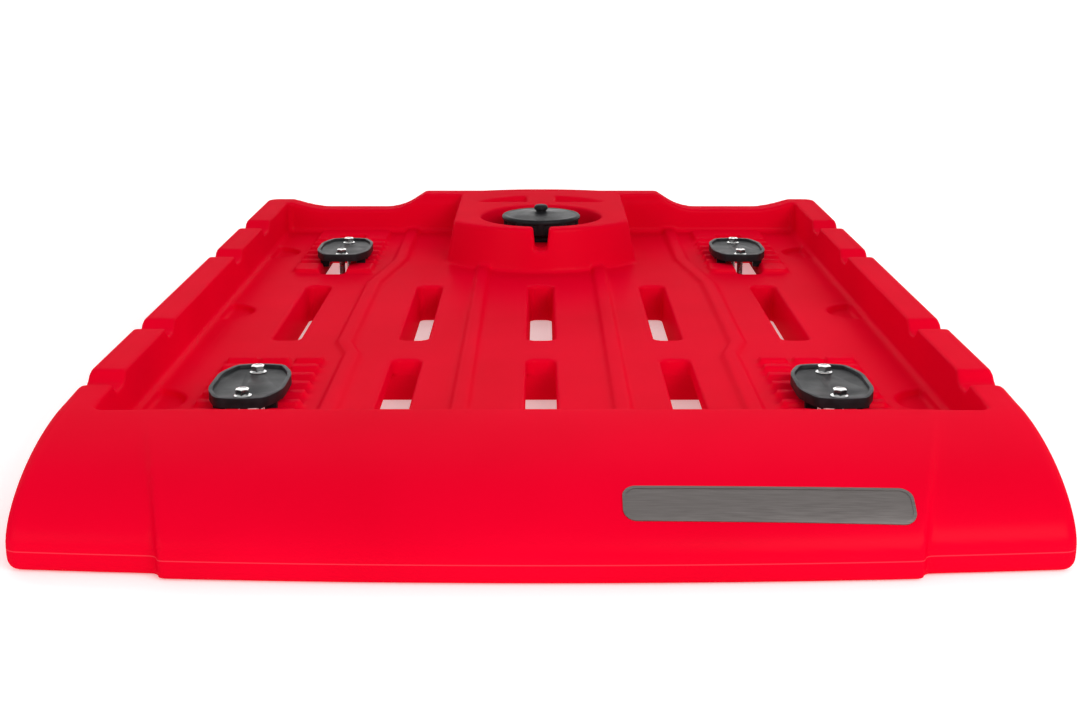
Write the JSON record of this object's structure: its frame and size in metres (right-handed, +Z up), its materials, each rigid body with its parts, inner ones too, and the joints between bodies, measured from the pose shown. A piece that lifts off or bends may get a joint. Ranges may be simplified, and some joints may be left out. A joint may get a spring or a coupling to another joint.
{
  "type": "roof-rack tray tank",
  "caption": "Flat hollow roof-rack cargo tray that also holds water, with a rounded nose, strap slots, a screw-cap filler and bolted crossbar clamps.",
  "frame": {"origin": "middle of the base's bounding box", "axes": "+X to the tray's right seen from behind the nose, -Y towards the nose, +Z up out of the tray"},
  "size_m": [1.05, 1.566, 0.15],
  "materials": {
    "moulded_body": "rotationally moulded polyethylene, fine satin texture",
    "cap_plastic": "moulded black polypropylene",
    "seal_rubber": "moulded nitrile rubber",
    "badge_metal": "brushed grey anodised",
    "clamp_nylon": "moulded black glass-filled nylon",
    "bolt_steel": "bright stainless",
    "jaw_steel": "black powder coat",
    "pad_rubber": "ribbed EPDM strip",
    "nut_steel": "zinc plated"
  },
  "bodies": {
    "tray": {"tank_body": "moulded_body", "filler_neck": "cap_plastic", "nose_badge": "badge_metal", "clamp_plate_fl": "clamp_nylon", "clamp_plate_fr": "clamp_nylon", "clamp_plate_rl": "clamp_nylon", "clamp_plate_rr": "clamp_nylon"},
    "cap_ring": {"cap_gasket": "seal_rubber"},
    "cap": {"cap_lid": "cap_plastic", "vent_seal": "seal_rubber"},
    "vent": {"vent_knob": "cap_plastic"},
    "bolt_fl_a": {"bolt_fl_a": "bolt_steel"},
    "bolt_fl_b": {"bolt_fl_b": "bolt_steel"},
    "jaw_fl": {"jaw_fl": "jaw_steel", "jaw_pad_fl": "pad_rubber", "jaw_nuts_fl": "nut_steel"},
    "bolt_fr_a": {"bolt_fr_a": "bolt_steel"},
    "bolt_fr_b": {"bolt_fr_b": "bolt_steel"},
    "jaw_fr": {"jaw_fr": "jaw_steel", "jaw_pad_fr": "pad_rubber", "jaw_nuts_fr": "nut_steel"},
    "bolt_rl_a": {"bolt_rl_a": "bolt_steel"},
    "bolt_rl_b": {"bolt_rl_b": "bolt_steel"},
    "jaw_rl": {"jaw_rl": "jaw_steel", "jaw_pad_rl": "pad_rubber", "jaw_nuts_rl": "nut_steel"},
    "bolt_rr_a": {"bolt_rr_a": "bolt_steel"},
    "bolt_rr_b": {"bolt_rr_b": "bolt_steel"},
    "jaw_rr": {"jaw_rr": "jaw_steel", "jaw_pad_rr": "pad_rubber", "jaw_nuts_rr": "nut_steel"}
  },
  "joints": [
    {"name": "cap_rise", "type": "slide", "parent": "tray", "child": "cap_ring", "axis": [0, 0, 1], "range_m": [0, 0.0151]},
    {"name": "cap_turn", "type": "hinge", "parent": "cap_ring", "child": "cap", "pos_m": [0, 0.494, 0], "axis": [0, 0, 1], "range_deg": [0, 900]},
    {"name": "vent_turn", "type": "hinge", "parent": "cap", "child": "vent", "pos_m": [0, 0.494, 0], "axis": [0, 0, 1], "range_deg": [0, 90]},
    {"name": "bolt_fl_a_turn", "type": "hinge", "parent": "tray", "child": "bolt_fl_a", "pos_m": [-0.349, -0.424, 0], "axis": [0, 0, -1], "range_deg": [0, 4321]},
    {"name": "bolt_fl_b_turn", "type": "hinge", "parent": "tray", "child": "bolt_fl_b", "pos_m": [-0.349, -0.324, 0], "axis": [0, 0, -1], "range_deg": [0, 4321]},
    {"name": "jaw_fl_lift", "type": "slide", "parent": "tray", "child": "jaw_fl", "axis": [0, 0, 1], "range_m": [0, 0.018]},
    {"name": "bolt_fr_a_turn", "type": "hinge", "parent": "tray", "child": "bolt_fr_a", "pos_m": [0.349, -0.424, 0], "axis": [0, 0, -1], "range_deg": [0, 4321]},
    {"name": "bolt_fr_b_turn", "type": "hinge", "parent": "tray", "child": "bolt_fr_b", "pos_m": [0.349, -0.324, 0], "axis": [0, 0, -1], "range_deg": [0, 4321]},
    {"name": "jaw_fr_lift", "type": "slide", "parent": "tray", "child": "jaw_fr", "axis": [0, 0, 1], "range_m": [0, 0.018]},
    {"name": "bolt_rl_a_turn", "type": "hinge", "parent": "tray", "child": "bolt_rl_a", "pos_m": [-0.338, 0.398, 0], "axis": [0, 0, -1], "range_deg": [0, 4321]},
    {"name": "bolt_rl_b_turn", "type": "hinge", "parent": "tray", "child": "bolt_rl_b", "pos_m": [-0.338, 0.498, 0], "axis": [0, 0, -1], "range_deg": [0, 4321]},
    {"name": "jaw_rl_lift", "type": "slide", "parent": "tray", "child": "jaw_rl", "axis": [0, 0, 1], "range_m": [0, 0.018]},
    {"name": "bolt_rr_a_turn", "type": "hinge", "parent": "tray", "child": "bolt_rr_a", "pos_m": [0.338, 0.398, 0], "axis": [0, 0, -1], "range_deg": [0, 4321]},
    {"name": "bolt_rr_b_turn", "type": "hinge", "parent": "tray", "child": "bolt_rr_b", "pos_m": [0.338, 0.498, 0], "axis": [0, 0, -1], "range_deg": [0, 4321]},
    {"name": "jaw_rr_lift", "type": "slide", "parent": "tray", "child": "jaw_rr", "axis": [0, 0, 1], "range_m": [0, 0.018]}
  ],
  "couplings": [
    {"joint": "cap_rise", "follows": "cap_turn", "m_per_rad": 0.00095493},
    {"joint": "bolt_fl_a_turn", "follows": "jaw_fl_lift", "rad_per_m": 4188.8},
    {"joint": "bolt_fl_b_turn", "follows": "jaw_fl_lift", "rad_per_m": 4188.8},
    {"joint": "bolt_fr_a_turn", "follows": "jaw_fr_lift", "rad_per_m": 4188.8},
    {"joint": "bolt_fr_b_turn", "follows": "jaw_fr_lift", "rad_per_m": 4188.8},
    {"joint": "bolt_rl_a_turn", "follows": "jaw_rl_lift", "rad_per_m": 4188.8},
    {"joint": "bolt_rl_b_turn", "follows": "jaw_rl_lift", "rad_per_m": 4188.8},
    {"joint": "bolt_rr_a_turn", "follows": "jaw_rr_lift", "rad_per_m": 4188.8},
    {"joint": "bolt_rr_b_turn", "follows": "jaw_rr_lift", "rad_per_m": 4188.8}
  ]
}
